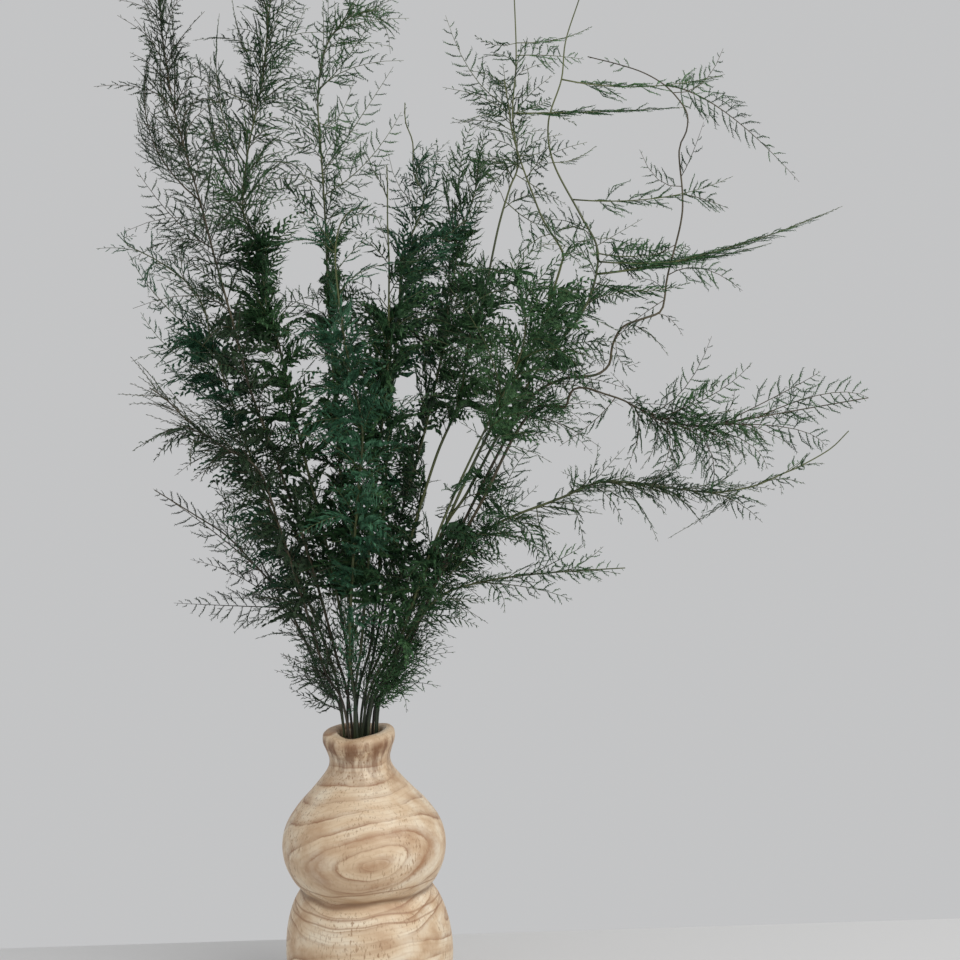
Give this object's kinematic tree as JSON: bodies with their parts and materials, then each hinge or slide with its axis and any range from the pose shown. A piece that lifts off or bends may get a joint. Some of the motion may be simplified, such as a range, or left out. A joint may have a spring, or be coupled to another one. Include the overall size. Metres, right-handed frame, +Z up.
{
  "type": "vase of preserved asparagus fern",
  "caption": "Turned wooden vase with two bellies and a narrow neck, holding a tall loose bunch of preserved asparagus fern.",
  "frame": {"origin": "middle of the vase's flat foot", "axes": "+Z up along the vase's axis and the tall stems; -Y towards the front, the side the picture shows; +X to the right seen from the front"},
  "size_m": [0.594, 0.2856, 0.8497],
  "materials": {
    "vase_wood": "satin",
    "fern": "matte",
    "fern_stem": "satin"
  },
  "bodies": {
    "root": {"vase": "vase_wood", "stem_right_tall": "fern", "stem_right_curl": "fern", "stem_right_wiggle": "fern", "stem_right_low": "fern", "stem_right_lowest": "fern", "stem_centre_tall": "fern", "stem_centre_cross": "fern", "stem_centre_curve": "fern", "stem_centre_straight": "fern", "stem_left_tall": "fern", "stem_left_outer": "fern", "stem_left_mid": "fern", "stem_left_dark": "fern", "stem_left_pale": "fern", "stem_top_middle": "fern", "stem_front_middle": "fern", "stem_back_middle": "fern", "stem_front_right": "fern"}
  },
  "joints": []
}
